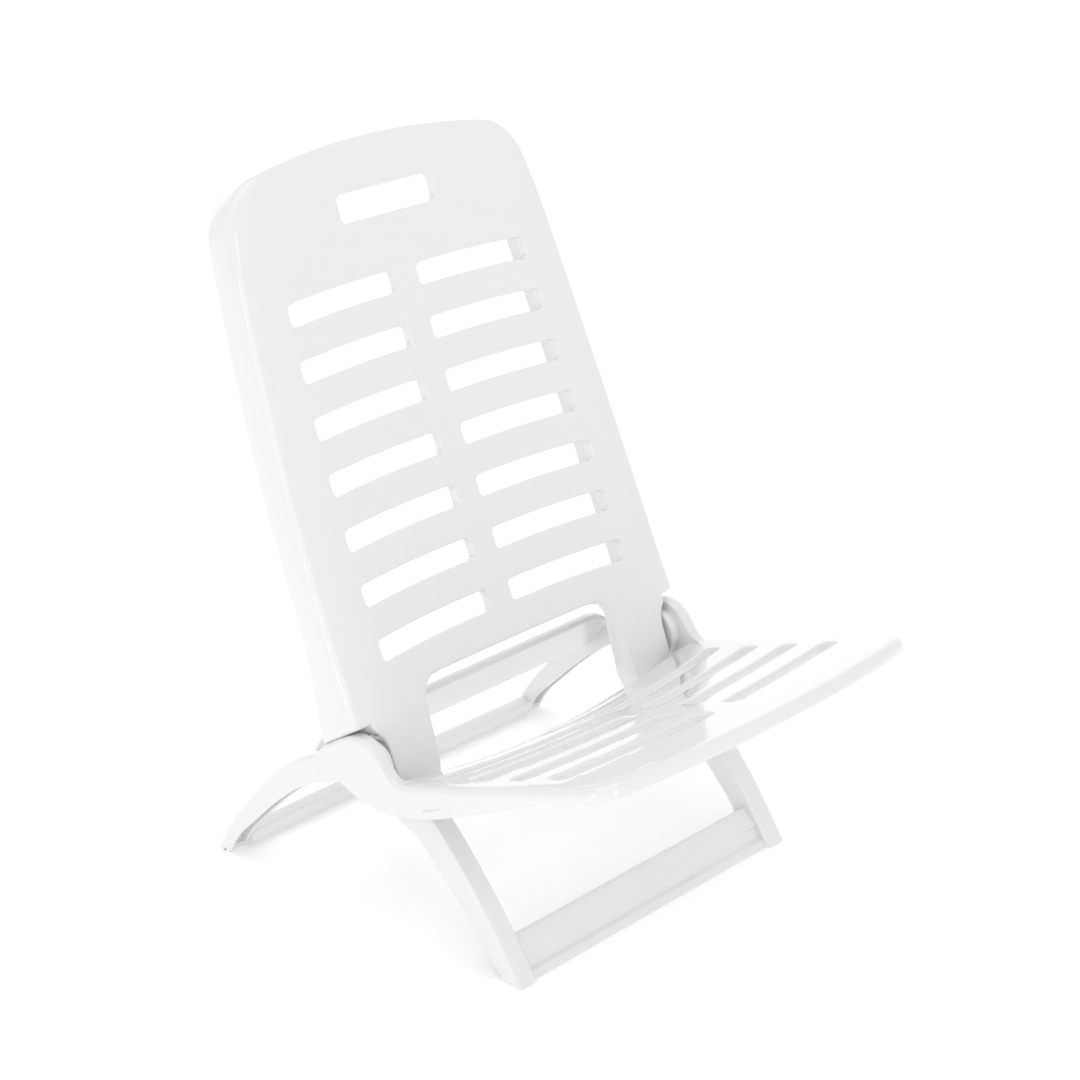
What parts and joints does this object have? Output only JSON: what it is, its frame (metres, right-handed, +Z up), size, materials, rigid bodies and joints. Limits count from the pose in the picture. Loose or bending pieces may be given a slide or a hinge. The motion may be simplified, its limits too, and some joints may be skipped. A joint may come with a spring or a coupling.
{
  "type": "folding beach chair",
  "caption": "Low folding beach chair in white moulded resin: a slotted backrest on front legs turns on pins in a slotted bucket seat on rear legs.",
  "frame": {"origin": "bottom centre of the chair's bounding box, on the floor between its feet", "axes": "+X across the chair towards its own left arm as seen from behind, +Y from the seat's front towards the back, +Z up; the chair is symmetric across X"},
  "size_m": [0.392, 0.5064, 0.6153],
  "materials": {
    "resin": "smooth glossy white moulded resin",
    "pin": "smooth light grey moulded pin"
  },
  "bodies": {
    "seat_frame": {"seat_panel": "resin", "arm_left": "resin", "arm_right": "resin", "rear_leg_left": "resin", "rear_leg_right": "resin", "rear_stop_bar": "resin", "rear_crossbar": "resin", "pivot_pin_left": "pin", "pivot_pin_right": "pin"},
    "back_frame": {"back_panel": "resin", "back_strip_left": "resin", "back_strip_right": "resin", "front_leg_left": "resin", "front_leg_right": "resin", "front_crossbar": "resin"}
  },
  "joints": [
    {"name": "fold", "type": "hinge", "parent": "seat_frame", "child": "back_frame", "pos_m": [0, 0.04258, 0.15], "axis": [1, 0, 0], "range_deg": [0, 68]}
  ]
}
